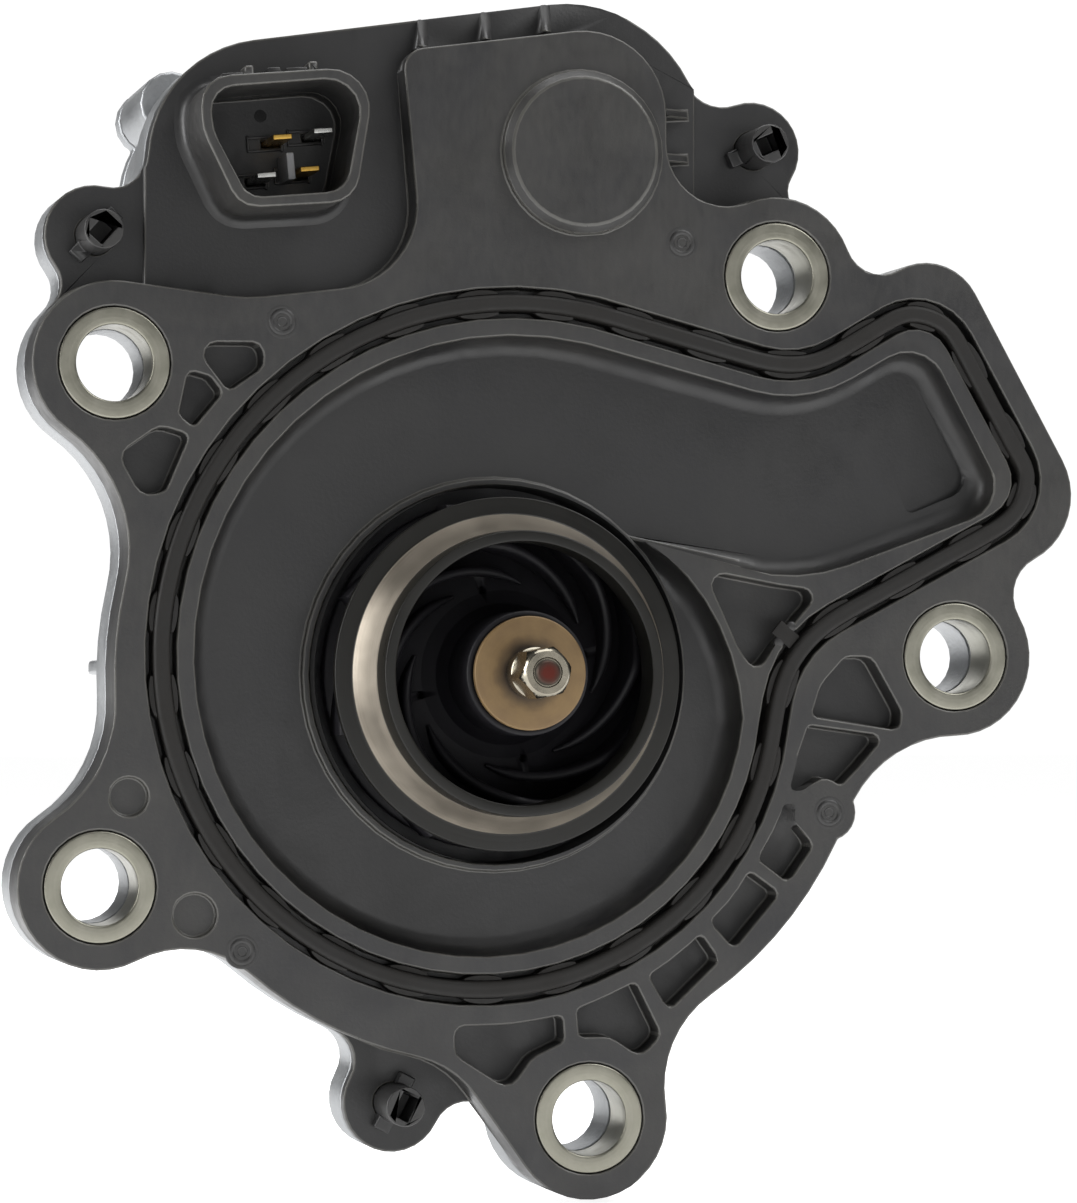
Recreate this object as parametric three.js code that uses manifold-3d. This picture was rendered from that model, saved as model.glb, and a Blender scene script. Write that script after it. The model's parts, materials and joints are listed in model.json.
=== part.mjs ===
// Electric coolant pump: a wet-rotor motor pump that bolts to an engine face with five through bolts.
// Millimetres. +X right and +Z up on the engine-side face, +Y into the pump. The origin is on the
// impeller's axis, in the plane of the sleeve ends that touch the engine (Y = 0).

import * as THREE from 'three';
import { mergeVertices } from 'three/addons/utils/BufferGeometryUtils.js';
import Module from 'manifold-3d';

const wasm = await Module();
wasm.setup();

// ---------------------------------------------------------------- driving dimensions

const SAGITTA = 0.07;            // how far a chord may stand off its arc
const FINE_SAGITTA = 0.035;      // the same for the outline that is seen against the background
const GAP = 0.3;                 // air left between two separate pieces
const FIT = 0.12;                // air left around a pressed or moulded-in piece

const LAND = 0;                  // engine-side face of the plastic body
const PLATFORM = 4.2;            // face of the set-back area around the connector
const EAR_FACE = 5.4;            // face of the three small clip ears
const FLOOR = 4;                 // floor of the volute recess
const BODY_BACK = 7.2;           // back of the plastic body
const FLANGE_FRONT = BODY_BACK + GAP;
const FLANGE_BACK = 14.5;        // where the bolt heads bear
const MOTOR_BACK = 58;           // back of the motor can
const CHAMBER_BACK = 35;         // back of the electronics chamber wall

const BOLT_EAR = 9.7;
const SMALL_EAR = 6;
const SLEEVE = { outer: 6.55, bore: 4.5 };
const BOLTS = [[-46.5, 36.3], [34.4, 48.3], [57.1, 2.3], [10.8, -53], [-48.1, -24.9]];
const CLIPS = [
  { x: -48.1, z: 51.7, turn: -2.3 },
  { x: 32.9, z: 64.2, turn: 0.42 },
  { x: -12.1, z: -51, turn: -2.05 },
];
const BODY_RADIUS = 46.5;

const WELL = 22.7;               // bore that the impeller turns in
const GROOVE = 3.6;              // width of the gasket groove
const GROOVE_DEPTH = 2.6;
const LAND_WIDTH = 4;            // from the gasket's centre line to the edge of the recess

const IMPELLER = {
  rim: 21, neck: 19, throat: 16.85, mouth: 16.7, eye: 15.4, hub: 7.3, face: -3.7, flare: -6.8, lip: -11.8,
};
const BLADES = 8;
const BLADE = { inner: 11.4, thick: 1.1, sweep: 2.15, first: 0.59 };
const WASHER = { radius: 6.66, front: -14.3, thick: 1 };
const SHAFT = { radius: 3.85, stud: 1.5, tip: -23 };
const ROTOR = { front: 12, back: 42, magnet: 14.5, core: 9 };
const CAN = { bore: 15.3, wall: 0.8, back: 48 };
const STATOR = { front: 14.5, back: 44, outer: 35.8, bore: 17.2, slot: 31, teeth: 6 };
const HOUSING = { bore: 36.2, outer: 39 };

const PUCK = { x: 9.9, z: 62.6, radius: 9.9, rise: 1.8 };
const SOCKET = { front: -7, floor: 7, wall: 1.3, back: 10 };
const TERMINALS = [[-26.6, 63.4], [-21.7, 64.3], [-28.5, 58.8], [-23.3, 59.7]];
const TERMINAL = { wide: 2.3, thick: 0.64, tilt: 0.096, front: 0, back: 19.6 };
const BOARD = { front: 20, thick: 1.6 };

// ---------------------------------------------------------------- finishes

const finish = (color, roughness, metalness) => ({ color, roughness, metalness });
const PLASTIC = finish(0x3d3d3f, 0.5, 0);
const RUBBER = finish(0x14110f, 0.7, 0);
const STEEL = finish(0xb9b8ae, 0.35, 1);
const ALUMINIUM = finish(0xb4b6b8, 0.45, 1);
const BRASS_BROWN = finish(0x8a6a42, 0.45, 0.2);
const CARBON = finish(0x2b2b2d, 0.5, 0);
const COPPER = finish(0xb4673a, 0.4, 1);
const LAMINATION = finish(0x70737a, 0.5, 1);
const BOARD_GREEN = finish(0x1f5a37, 0.55, 0);
const GOLD = finish(0xc79a3c, 0.3, 1);
const KEY_GREY = finish(0x9a9a9c, 0.5, 0);

// ---------------------------------------------------------------- outlines in the X-Z plane

const polar = (radius, angle) => [radius * Math.cos(angle), radius * Math.sin(angle)];
const degrees = THREE.MathUtils.degToRad;
const plus = ([ax, az], [bx, bz]) => [ax + bx, az + bz];

// Points along an arc, both ends included. A negative turn goes clockwise.
function arc(x, z, radius, from, turn, sagitta = SAGITTA) {
  const step = 2 * Math.acos(1 - Math.min(sagitta / radius, 0.3));
  const count = Math.max(1, Math.ceil(Math.abs(turn) / step));
  const at = (i) => plus([x, z], polar(radius, from + (turn * i) / count));
  return Array.from({ length: count + 1 }, (_, i) => at(i));
}

const circle = (x, z, radius, sagitta = SAGITTA) => arc(x, z, radius, 0, 2 * Math.PI, sagitta).slice(1);

// The arc that rounds the corner [x, z, radius] between its two neighbours.
function corner(before, [x, z, radius], after) {
  const inward = new THREE.Vector2(before[0] - x, before[1] - z).normalize();
  const outward = new THREE.Vector2(after[0] - x, after[1] - z).normalize();
  const half = Math.acos(THREE.MathUtils.clamp(inward.dot(outward), -1, 1)) / 2;
  const reach = inward.clone().add(outward).setLength(radius / Math.sin(half));
  const side = Math.sign(inward.cross(outward));
  const start = inward.angle() - (side * Math.PI) / 2;
  return arc(x + reach.x, z + reach.y, radius, start, side * (2 * half - Math.PI));
}

const rounded = (corners) => corners.flatMap((here, i) =>
  corner(corners.at(i - 1), here, corners[(i + 1) % corners.length]));

// An open path between two plain end points, with the corners between them rounded.
const bent = (path) => path.slice(1, -1).flatMap((here, i) => corner(path[i], here, path[i + 2]));

// The corners of an open path moved to its left, with their radii kept concentric.
function shifted(path, distance) {
  return path.slice(1, -1).map(([x, z, radius], i) => {
    const along = new THREE.Vector2(x - path[i][0], z - path[i][1]).normalize();
    const onward = new THREE.Vector2(path[i + 2][0] - x, path[i + 2][1] - z).normalize();
    const left = new THREE.Vector2(-along.y, along.x);
    const middle = new THREE.Vector2(-along.y - onward.y, along.x + onward.x).normalize();
    const reach = distance / middle.dot(left);
    return [x + reach * middle.x, z + reach * middle.y, radius - Math.sign(along.cross(onward)) * distance];
  });
}

// The circle of a given radius that touches rollers a and b on the right of the way from a to b.
function between(a, b, radius) {
  const [reachA, reachB] = [a.r + radius, b.r + radius];
  const apart = Math.hypot(b.x - a.x, b.z - a.z);
  const along = (reachA ** 2 - reachB ** 2 + apart ** 2) / (2 * apart);
  const aside = Math.sqrt(reachA ** 2 - along ** 2);
  const [ux, uz] = [(b.x - a.x) / apart, (b.z - a.z) / apart];
  return { x: a.x + along * ux + aside * uz, z: a.z + along * uz - aside * ux, r: -radius };
}

const roller = (x, z, r) => ({ x, z, r });
const fillet = (radius) => ({ fillet: radius });

// The outline of a belt round a list of rollers, counter-clockwise. A roller with a negative radius
// lies outside the belt, and a fillet stands for the outside roller that touches both its neighbours.
function belt(list) {
  const rollers = list.map((item, i) => {
    if (!item.fillet) return item;
    return between(list[i - 1], list[(i + 1) % list.length], item.fillet);
  });
  const normals = rollers.map((a, i) => {
    const b = rollers[(i + 1) % rollers.length];
    const apart = Math.hypot(b.x - a.x, b.z - a.z);
    const lean = Math.acos(THREE.MathUtils.clamp((a.r - b.r) / apart, -1, 1));
    return Math.atan2(b.z - a.z, b.x - a.x) - lean;
  });
  const points = rollers.flatMap(({ x, z, r }, i) => {
    const arriving = normals.at(i - 1);
    const turn = THREE.MathUtils.euclideanModulo(normals[i] - arriving, 2 * Math.PI);
    if (r > 0) return arc(x, z, r, arriving, turn, FINE_SAGITTA);
    return arc(x, z, -r, arriving + Math.PI, turn - 2 * Math.PI, FINE_SAGITTA);
  });
  return points.filter(([x, z], i) => Math.hypot(x - points.at(i - 1)[0], z - points.at(i - 1)[1]) > 0.01);
}

// The volute spiral: the distance of the gasket's centre line from the axis, at an angle that runs
// clockwise from the tongue side.
const SPIRAL = { start: degrees(-10), turn: degrees(275), radius: 34.4, growth: 2.2 };
const spiralRadius = (clockwise) => SPIRAL.radius + SPIRAL.growth * clockwise;

function spiral(inset, steps) {
  return Array.from({ length: steps + 1 }, (_, i) => {
    const clockwise = SPIRAL.turn * (1 - i / steps);
    return polar(spiralRadius(clockwise) - inset, SPIRAL.start - clockwise);
  });
}

const OUTLET_CORNERS = [[35.6, 3.7, 14], [68.8, 21.3, 6.5], [54.5, 46.6, 6.5], [37.5, 36.6, 13]];

// The gasket's centre line, moved inwards by an inset, counter-clockwise.
function gasketLine(inset) {
  const centre = spiral(0, 1);
  const corners = shifted([centre[1], ...OUTLET_CORNERS, centre[0]], inset);
  const sweep = spiral(inset, 44);
  return [...sweep, ...bent([sweep.at(-1), ...corners, sweep[0]])];
}

// The recess: the same spiral, the outlet channel, and the tongue between them.
const TONGUE = { tip: degrees(42), radius: 24 };
const CHANNEL_CORNERS = [[37, 11.1, 22], [64.1, 20.9, 4.5], [53.1, 41.3, 5], [38, 32.6, 17]];

function recessLine() {
  const steps = 7;
  const sweep = spiral(LAND_WIDTH, 40);
  const tail = Array.from({ length: steps }, (_, i) => {
    const share = (i + 1) / steps;
    const radius = THREE.MathUtils.lerp(SPIRAL.radius - LAND_WIDTH, TONGUE.radius, share);
    return polar(radius, THREE.MathUtils.lerp(SPIRAL.start, TONGUE.tip, share));
  });
  return [...sweep, ...tail, ...bent([tail.at(-1), ...CHANNEL_CORNERS, sweep[0]])];
}

const EARS = BOLTS.map(([x, z]) => roller(x, z, BOLT_EAR));
const [EAR_TOP_LEFT, EAR_TOP_RIGHT, EAR_RIGHT, EAR_BOTTOM, EAR_LEFT] = EARS;
const [CLIP_LEFT, CLIP_RIGHT, CLIP_BOTTOM] = CLIPS.map(({ x, z }) => roller(x, z, SMALL_EAR));
const ROUND_BODY = roller(0, 0, BODY_RADIUS);
const OUTLET_LOBE = roller(63.4, 22.2, 8.9);
const TOP_LOBE = roller(53.6, 43.3, 7.2);
const TOWER_SHOULDER = roller(9.6, 64.3, 16.9);
const CONNECTOR_SHOULDER = roller(-27, 60.6, 15);

const fullOutline = () => belt([
  EAR_RIGHT, fillet(5), OUTLET_LOBE, TOP_LOBE, fillet(4.5), EAR_TOP_RIGHT, fillet(3), CLIP_RIGHT,
  fillet(5), TOWER_SHOULDER, CONNECTOR_SHOULDER, fillet(4), CLIP_LEFT, fillet(3.5), EAR_TOP_LEFT,
  fillet(17), ROUND_BODY, fillet(16), EAR_LEFT, fillet(12), ROUND_BODY, fillet(4), CLIP_BOTTOM,
  fillet(4.2), EAR_BOTTOM, fillet(13), ROUND_BODY, fillet(15),
]);

const landOutline = () => belt([
  EAR_RIGHT, fillet(5), OUTLET_LOBE, TOP_LOBE, fillet(4.5), EAR_TOP_RIGHT, roller(27.9, 64.1, -7.4),
  roller(10.5, 67.4, 10), roller(-9.3, 72, 2.6), roller(-20.6, 55.8, -10.2), roller(-31, 64, -19.6),
  EAR_TOP_LEFT, fillet(17), ROUND_BODY, fillet(16), EAR_LEFT, fillet(12), ROUND_BODY, fillet(12),
  roller(2.2, -46.6, 6.4), EAR_BOTTOM, fillet(13), ROUND_BODY, fillet(15),
]);

// The platform takes the part of the full outline that lies in this window.
const platformWindow = () => rounded([[-42.4, 40, 1], [25.2, 40, 1], [25.2, 90, 1], [-42.4, 90, 1]]);

// The row of weight-saving pockets between the gasket and the edge, each rounded at its corners.
const POCKETS = [
  [[-37.4, 38.9, 1.5], [-33, 33.2, 0.8], [-28.6, 36.3, 1.6], [-29.2, 39, 1.2]],
  [[-37.8, 35.6, 0.8], [-38.9, 30.4, 0.8], [-37.1, 28.9, 0.6], [-33.7, 33, 0.8], [-35.2, 34.9, 0.8]],
  [[-41.2, 29, 2], [-46, 25.6, 1.6], [-43.2, 20.6, 2], [-40.4, 21.4, 1.2], [-37.6, 28, 0.8]],
  [[25.2, 12.6, 1.4], [29.6, 3, 5], [31.8, 0.2, 1.2], [34, 3.5, 0.5], [36.6, 6.4, 0.5], [39.9, 10.2, 1.2],
    [34.4, 10.9, 6]],
  [[43, 2.2, 1.5], [39.9, -1.2, 4], [38.7, -5, 0.6], [49.9, -6.7, 0.8], [50.1, -4.4, 1], [46.3, 2.2, 1.6]],
  [[38.3, -6.1, 0.6], [36.9, -10, 8], [35.8, -14.1, 0.6], [37.5, -14, 0.5], [40.3, -12.2, 2],
    [42.4, -13.4, 0.6], [44.6, -11.2, 4], [48, -7.4, 0.8]],
  [[35.1, -15.7, 0.6], [34.2, -18.3, 8], [31.9, -22.3, 0.6], [35.7, -25.1, 0.8], [38.9, -20.6, 1],
    [36.3, -17.8, 2.4], [36.8, -15.4, 0.6]],
  [[30.8, -23.7, 0.6], [28.9, -26.7, 10], [25.9, -29.7, 0.6], [28.9, -33, 0.8], [34.6, -26.4, 0.8]],
  [[24.7, -31.2, 0.6], [22.2, -33.5, 20], [18.2, -36.1, 0.6], [20.7, -40.3, 0.8], [27, -34.4, 0.8]],
  [[16.5, -36.9, 0.6], [12.8, -38.6, 30], [9.3, -40, 0.6], [9.6, -43.3, 0.5], [13.4, -43.3, 3],
    [17.2, -45.8, 1.6], [19.7, -43.2, 1.2]],
  [[7.5, -40.7, 0.6], [1.5, -41.7, 30], [-5.7, -41.8, 1.2], [-5.6, -45.2, 1.8], [1, -49.4, 1.8],
    [3.8, -45.6, 2], [7.7, -43.8, 0.8]],
];
const POCKET_DEPTH = 3.6;
const SHALLOW = [[-36.9, -28.3, 2.6], [-44.7, -14.4, 2.3]];
const TOP_GUSSETS = [[-9.2, 76.6], [-1.4, 77.8], [6, 79]];
const SIDE_GUSSETS = [68, 62.6];

const socketOutline = (inset) => rounded([
  [-33 + 0.8 * inset, 54 + inset, 3.4 - 0.6 * inset],
  [-19.2 - 0.9 * inset, 55.1 + inset, 3.8 - 0.6 * inset],
  [-16.6 - inset, 71.2 - inset, 4.6 - 0.6 * inset],
  [-37.7 + inset, 69.2 - inset, 3.6 - 0.6 * inset],
  [-37.4 + inset, 63, 7],
]);

// ---------------------------------------------------------------- solids

// A closed manifold from a three.js geometry, with its faces turned outwards.
function solid(geometry) {
  const bare = geometry.clone();
  bare.deleteAttribute('normal');
  bare.deleteAttribute('uv');
  const merged = mergeVertices(bare, 1e-5);
  const vertProperties = new Float32Array(merged.attributes.position.array);
  const triVerts = new Uint32Array(merged.index.array);
  const build = () => new wasm.Manifold(new wasm.Mesh({ numProp: 3, vertProperties, triVerts }));
  const body = build();
  if (body.volume() > 0) return body;
  for (let i = 0; i < triVerts.length; i += 3) {
    [triVerts[i], triVerts[i + 1]] = [triVerts[i + 1], triVerts[i]];
  }
  return build();
}

function shapeOf(points, holes = []) {
  const shape = new THREE.Shape(points.map(([x, z]) => new THREE.Vector2(x, z)));
  shape.holes = holes.map((hole) => new THREE.Path(hole.map(([x, z]) => new THREE.Vector2(x, z))));
  return shape;
}

// An outline in the X-Z plane, extruded from one Y to another.
function slab(points, front, back, holes = []) {
  const geometry = new THREE.ExtrudeGeometry(shapeOf(points, holes), {
    depth: back - front,
    bevelEnabled: false,
    curveSegments: 1,
  });
  geometry.rotateX(Math.PI / 2);
  geometry.translate(0, back, 0);
  return solid(geometry);
}

// The same, with both ends rounded off inwards by a radius.
function pillow(points, front, back, radius, segments = 3) {
  const geometry = new THREE.ExtrudeGeometry(shapeOf(points), {
    depth: back - front - 2 * radius,
    bevelEnabled: true,
    bevelThickness: radius,
    bevelSize: radius,
    bevelOffset: -radius,
    bevelSegments: segments,
    curveSegments: 1,
  });
  geometry.rotateX(Math.PI / 2);
  geometry.translate(0, back - radius, 0);
  return solid(geometry);
}

// A profile [[radius, y], ...] turned about an axis along Y.
function turned(profile, segments = 32, x = 0, z = 0) {
  const closed = [...profile, profile[0]].map(([r, y]) => new THREE.Vector2(r, y));
  const geometry = new THREE.LatheGeometry(closed, segments);
  geometry.translate(x, 0, z);
  return solid(geometry);
}

const rod = (x, z, radius, front, back, segments = 24) =>
  turned([[0, front], [radius, front], [radius, back], [0, back]], segments, x, z);

const tube = (x, z, inner, outer, front, back, segments = 32) =>
  turned([[inner, front], [outer, front], [outer, back], [inner, back]], segments, x, z);

function box(x0, x1, y0, y1, z0, z1) {
  const geometry = new THREE.BoxGeometry(x1 - x0, y1 - y0, z1 - z0);
  geometry.translate((x0 + x1) / 2, (y0 + y1) / 2, (z0 + z1) / 2);
  return solid(geometry);
}

// A block of a given width, turned in the X-Z plane about its own centre.
function bar(x, z, length, width, turn, front, back) {
  const geometry = new THREE.BoxGeometry(length, back - front, width);
  geometry.rotateY(-turn);
  geometry.translate(x, (front + back) / 2, z);
  return solid(geometry);
}

const join = (bodies) => bodies.reduce((whole, next) => whole.add(next));
const cut = (body, tools) => tools.reduce((left, tool) => left.subtract(tool), body);

const model = new THREE.Group();

function add(name, body, { color, roughness, metalness }) {
  const { vertProperties, triVerts } = body.getMesh();
  const geometry = new THREE.BufferGeometry();
  geometry.setAttribute('position', new THREE.BufferAttribute(new Float32Array(vertProperties), 3));
  geometry.setIndex(new THREE.BufferAttribute(new Uint32Array(triVerts), 1));
  geometry.computeVertexNormals();
  const mesh = new THREE.Mesh(geometry, new THREE.MeshStandardMaterial({ color, roughness, metalness }));
  mesh.name = name;
  model.add(mesh);
}

// ---------------------------------------------------------------- plastic front body

// The outlet channel's floor falls away past a ramp line that crosses the channel.
function outletRamp() {
  const field = [[46.9, 34, 1], [52.3, 19.7, 1], [60.9, 23.2, 2.5], [52.4, 37.6, 3]];
  const wedge = new THREE.BoxGeometry(40, 20, 60);
  wedge.translate(20, -10, 0);
  wedge.rotateZ(0.11);
  wedge.rotateY(degrees(20));
  wedge.translate(49.2, FLOOR, 27);
  return slab(rounded(field), -5, FLOOR + 1.3).intersect(solid(wedge));
}

// A rib that slopes from the tower's wall down to the rim, across an edge at (x, z).
function gusset(x, z, turn) {
  const [length, width] = [1.9, 1.1];
  const slope = new THREE.Shape([
    new THREE.Vector2(-length, PLATFORM + 1),
    new THREE.Vector2(length, PLATFORM + 1),
    new THREE.Vector2(length, PLATFORM - 0.5),
    new THREE.Vector2(-length, LAND + 0.3),
  ]);
  const geometry = new THREE.ExtrudeGeometry(slope, { depth: width, bevelEnabled: false });
  geometry.translate(0, 0, -width / 2);
  geometry.rotateY(-turn);
  geometry.translate(x, 0, z);
  return solid(geometry);
}

function clipHole({ x, z }) {
  return rod(x, z, 2.3, -10, 20);
}

function pumpBody() {
  const wholeFace = slab(fullOutline(), LAND, PLATFORM + 1);
  const gussets = [
    ...TOP_GUSSETS.map(([x, z]) => gusset(x, z, degrees(80))),
    ...SIDE_GUSSETS.map((z) => gusset(22.3, z, degrees(4))),
  ];
  const bosses = [
    slab(landOutline(), LAND, PLATFORM + 2),
    slab(fullOutline(), PLATFORM, PLATFORM + 2).intersect(slab(platformWindow(), 0, BODY_BACK)),
    slab(fullOutline(), EAR_FACE, BODY_BACK),
    turned([[0, PLATFORM], [PUCK.radius, PLATFORM], [PUCK.radius, LAND - 0.8], [PUCK.radius - 1, -PUCK.rise],
      [0, -PUCK.rise]], 36, PUCK.x, PUCK.z),
    slab(socketOutline(0.9), BODY_BACK - 1, SOCKET.back).intersect(slab(chamberOutline(3.4), 0, 20)),
    ...gussets.map((rib) => rib.intersect(wholeFace)),
  ];
  const shoulder = tube(0, 0, WELL - 1, WELL + 0.9, FLOOR - 1, BODY_BACK - 1, 48);
  const groove = slab(gasketLine(-GROOVE / 2), -5, GROOVE_DEPTH)
    .subtract(slab(gasketLine(GROOVE / 2), -5, GROOVE_DEPTH + 1));
  const bossInPocket = rod(40.9, -16.7, 3.4, LAND, FLOOR + 1, 24);
  const recess = pillow(recessLine(), -10, FLOOR, 2.2, 3).add(outletRamp());
  const cavity = slab(rounded([[-7.5, 49, 3], [17.5, 49, 3], [17.5, 72, 6], [-8, 71, 3]]), 2.6, 20);
  const tools = [
    groove,
    recess.subtract(shoulder),
    bar(35.4, 4.9, 4, 2.4, degrees(140), -5, GROOVE_DEPTH),
    ...POCKETS.map((pocket) => slab(rounded(pocket), -10, POCKET_DEPTH)),
    ...SHALLOW.map(([x, z, radius]) => rod(x, z, radius, -5, 0.9)),
    ...BOLTS.map(([x, z]) => rod(x, z, SLEEVE.outer + FIT, -5, 12, 32)),
    ...CLIPS.map(clipHole),
    rod(0, 0, WELL, -5, 12, 48),
    tube(0, 0, 31.4, 34, BODY_BACK - 1.3, 12, 36),
    slab(socketOutline(SOCKET.wall), -20, SOCKET.floor),
    ...TERMINALS.map(([x, z]) => terminalBar(x, z, 0.25, -5, 20)),
    cavity,
  ];
  return cut(join(bosses), tools).add(bossInPocket);
}

function connectorShell() {
  const outside = slab(socketOutline(0), SOCKET.front, PLATFORM - FIT);
  const inside = slab(socketOutline(SOCKET.wall), SOCKET.front - 1, PLATFORM + 1);
  const latch = (x, z) => bar(x, z, 3.2, 1.8, TERMINAL.tilt, SOCKET.front + 1.5, SOCKET.front + 4.5);
  const latches = [latch(-33, 70.3), latch(-24, 71.2)];
  return cut(join([outside, ...latches]), [inside]);
}

function terminalBar(x, z, grow, front, back) {
  const { wide, thick, tilt } = TERMINAL;
  return bar(x, z, wide + grow, thick + grow, tilt, front, back);
}

// A snap rivet: a hollow post in front of the ear, a collar on it, and a shank through both ears.
function clip({ x, z, turn }) {
  const tip = EAR_FACE - 7.6;
  const post = rod(x, z, 2.35, tip, EAR_FACE - FIT, 20);
  const shank = rod(x, z, 1.9, EAR_FACE - 1, FLANGE_BACK + 2.5, 14);
  const barb = turned([
    [0, FLANGE_BACK + 0.4], [2.9, FLANGE_BACK + 0.4], [1.7, FLANGE_BACK + 3], [0, FLANGE_BACK + 3],
  ], 14, x, z);
  const wing = (side) => {
    const [wx, wz] = plus([x, z], polar(2.7 * side, turn));
    return bar(wx, wz, 1.9, 2, turn, EAR_FACE - 1.6, EAR_FACE - FIT);
  };
  const window = bar(x, z, 3.1, 2.1, turn, tip - 1, tip + 5);
  return cut(join([post, shank, barb, wing(1), wing(-1)]), [window]);
}

// ---------------------------------------------------------------- gasket

// A rubber strip whose sides swell every few millimetres to grip the walls of its groove.
function gasket() {
  const half = GROOVE / 2;
  const swell = (points, side) => points.map(([x, z], i) => {
    const before = points[(i + points.length - 1) % points.length];
    const after = points[(i + 1) % points.length];
    const tangent = new THREE.Vector2(after[0] - before[0], after[1] - before[1]).normalize();
    const slack = i % 8 < 2 ? 0.12 : 0.55;
    return [x - side * slack * tangent.y, z + side * slack * tangent.x];
  });
  const outer = swell(gasketLine(-half), 1);
  const inner = swell(gasketLine(half), -1);
  const strip = slab(outer, -0.7, GROOVE_DEPTH - 0.1).subtract(slab(inner, -2, GROOVE_DEPTH + 1));
  const nib = bar(35.6, 4.7, 3, 1.8, degrees(140), 0.6, GROOVE_DEPTH - 0.1);
  return strip.add(nib);
}

// ---------------------------------------------------------------- impeller and rotor

const HUB_PLATE = [[21, 3.4], [18, 2.6], [14, 0.8], [10, -0.7], [8.4, -1.6], [IMPELLER.hub, -3.4]];

function blade(index) {
  const start = BLADE.first + (index * 2 * Math.PI) / BLADES;
  const steps = 4;
  const spine = (offset) => Array.from({ length: steps + 1 }, (_, i) => {
    const radius = THREE.MathUtils.lerp(BLADE.inner - 0.4, IMPELLER.rim, i / steps);
    const swept = (BLADE.sweep * Math.log(radius / BLADE.inner)) / Math.log(IMPELLER.rim / BLADE.inner);
    return polar(radius + offset, start + swept);
  });
  const side = BLADE.thick / 2;
  return slab([...spine(-side), ...spine(side).reverse()], -9, 3.9);
}

function impeller() {
  const plate = turned([
    [SHAFT.radius + 2.6, WASHER.front + WASHER.thick + GAP],
    [IMPELLER.hub, WASHER.front + WASHER.thick + GAP],
    ...HUB_PLATE.slice().reverse(),
    [IMPELLER.rim, 5],
    [12, 5.2],
    [ROTOR.core, 7],
    [ROTOR.core, ROTOR.front - GAP],
    [SHAFT.radius + 2.6, ROTOR.front - GAP],
  ], 32);
  const reach = turned([
    [BLADE.inner, 3.6], [BLADE.inner, -1.2], [15, -6.2], [16.2, -4.4], [17.6, -3], [19, -2.2],
    [IMPELLER.rim - 0.1, -2], [IMPELLER.rim - 0.1, 4],
  ], 24);
  const blades = Array.from({ length: BLADES }, (_, i) => blade(i).intersect(reach));
  const balance = Array.from({ length: 4 }, (_, i) => {
    const [x, z] = polar(9.9, degrees(14 + 90 * i));
    return rod(x, z, 0.75, -6, 9, 8);
  });
  return cut(join([plate, ...blades]), balance);
}

function frontShroud() {
  const { rim, neck, throat, mouth, eye, face, flare, lip } = IMPELLER;
  return turned([
    [rim, -2.5], [rim, face], [neck, face], [throat, flare], [mouth, lip],
    [eye, lip], [eye, flare], [16.5, -4.7], [17.9, -3.3], [19.2, -2.6],
  ], 40);
}

function retainingNut() {
  const across = 5.5;
  const hexagon = Array.from({ length: 6 }, (_, i) => polar(across / Math.sqrt(3), degrees(60 * i + 12)));
  const chamfer = turned([[0, -30], [0.6, -30], [2.4, -22.6], [3.3, -21.6], [3.3, -10], [0, -10]], 24);
  const hex = slab(hexagon, -22.4, -16.6).intersect(chamfer);
  const collar = tube(0, 0, 1, 3, -17, WASHER.front - FIT, 28);
  return cut(join([hex, collar]), [rod(0, 0, SHAFT.stud + FIT, -30, 0, 20)]);
}

function shaft() {
  return turned([
    [0, SHAFT.tip], [SHAFT.stud - 0.3, SHAFT.tip], [SHAFT.stud, SHAFT.tip + 0.4], [SHAFT.stud, -12.6],
    [SHAFT.radius, -12.6], [SHAFT.radius, CAN.back - 0.6], [0, CAN.back - 0.6],
  ], 28);
}

const HALF_TOOTH = 0.2;          // half the angle that a stator tooth's neck takes

function statorOutline() {
  const { bore, slot, teeth } = STATOR;
  const pitch = (2 * Math.PI) / teeth;
  return Array.from({ length: teeth }, (_, i) => {
    const middle = i * pitch;
    const shoe = pitch / 2 - 0.09;
    return [
      ...arc(0, 0, bore, middle - shoe, 2 * shoe),
      polar(bore + 2, middle + shoe),
      polar(bore + 3, middle + 1.3 * HALF_TOOTH),
      polar(slot, middle + HALF_TOOTH * 0.75),
      ...arc(0, 0, slot, middle + HALF_TOOTH * 0.75, pitch - 1.5 * HALF_TOOTH).slice(1, -1),
      polar(slot, middle + pitch - HALF_TOOTH * 0.75),
      polar(bore + 3, middle + pitch - 1.3 * HALF_TOOTH),
      polar(bore + 2, middle + pitch - shoe),
    ];
  });
}

function statorCore() {
  return slab(circle(0, 0, STATOR.outer), STATOR.front, STATOR.back, [statorOutline().flat()]);
}

// One winding: a loop round a tooth, bulging past both ends of the core.
function coil(index) {
  const middle = (index * 2 * Math.PI) / STATOR.teeth;
  const [inner, outer] = [STATOR.bore + 3.8, STATOR.slot - 1.8];
  const wound = box(inner, outer, STATOR.front - 3.4, STATOR.back + 3.4, -8.6, 8.6);
  const tooth = box(inner - 1, outer + 1, STATOR.front - 0.4, STATOR.back + 0.4, -5.2, 5.2);
  const wedge = slab([[4, 0], polar(60, -degrees(29)), polar(60, degrees(29))], 0, 60);
  return wound.subtract(tooth).intersect(wedge).rotate(0, (-middle * 180) / Math.PI, 0);
}

function separationCan() {
  const { bore, wall, back } = CAN;
  const pin = SHAFT.radius + FIT;
  return turned([
    [40.4, BODY_BACK + 0.15], [40.4, BODY_BACK + 1.2],
    [bore + wall, BODY_BACK + 1.2], [bore + wall, back + 1.6],
    [6.2, back + 1.6], [5.2, back + 5], [0, back + 5], [0, back - 0.4], [pin, back - 0.4], [pin, back - 3],
    [6, back - 3], [6, back], [bore, back], [bore, BODY_BACK + 0.15],
  ], 28);
}

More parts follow.
